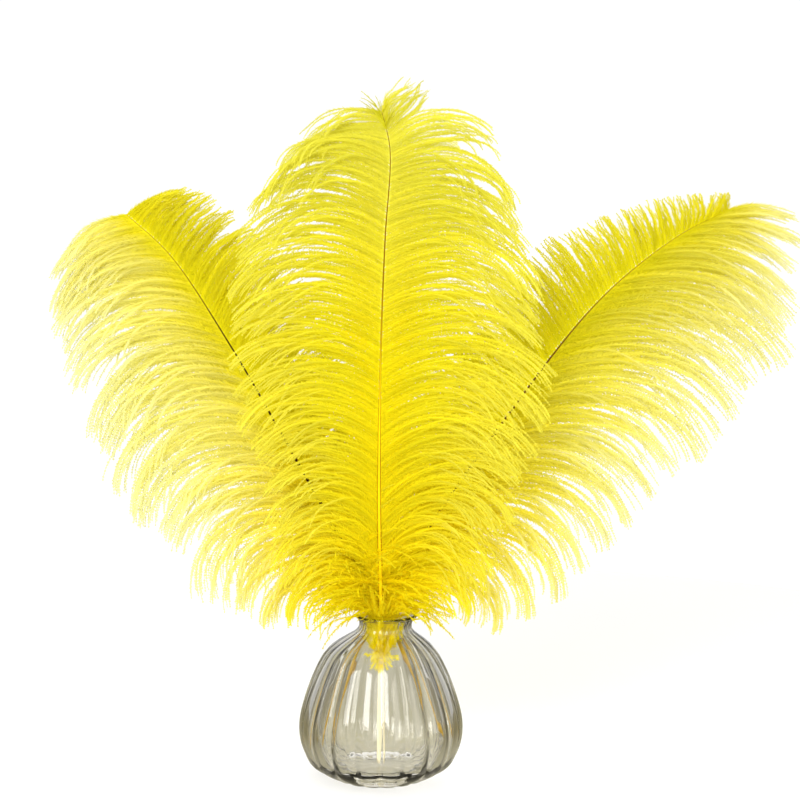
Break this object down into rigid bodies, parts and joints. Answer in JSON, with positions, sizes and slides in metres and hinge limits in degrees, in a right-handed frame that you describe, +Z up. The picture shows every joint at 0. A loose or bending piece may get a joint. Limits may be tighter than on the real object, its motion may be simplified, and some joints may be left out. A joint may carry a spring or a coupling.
{
  "type": "ostrich feathers in a bud vase",
  "caption": "Tall dyed ostrich plumes with drooping, fluffy vanes, fanned out of a small round ribbed clear-glass bud vase; a table decoration.",
  "frame": {"origin": "centre of the vase's flat foot, on the table", "axes": "+Z up, along the vase's axis; the upright feather's front looks along -Y, and +X is to the viewer's right"},
  "size_m": [0.4302, 0.094, 0.393],
  "materials": {
    "glass": "clear glass with a faint warm olive tint, smooth and shiny, with ribs that bend the light",
    "plume": "dyed lemon-yellow feather: soft, loose barbs with fluffy barbules, paler at their tips, on a thin brownish shaft"
  },
  "bodies": {
    "root": {"vase": "glass", "centre_feather": "plume", "left_feather": "plume", "right_feather": "plume"}
  },
  "joints": []
}
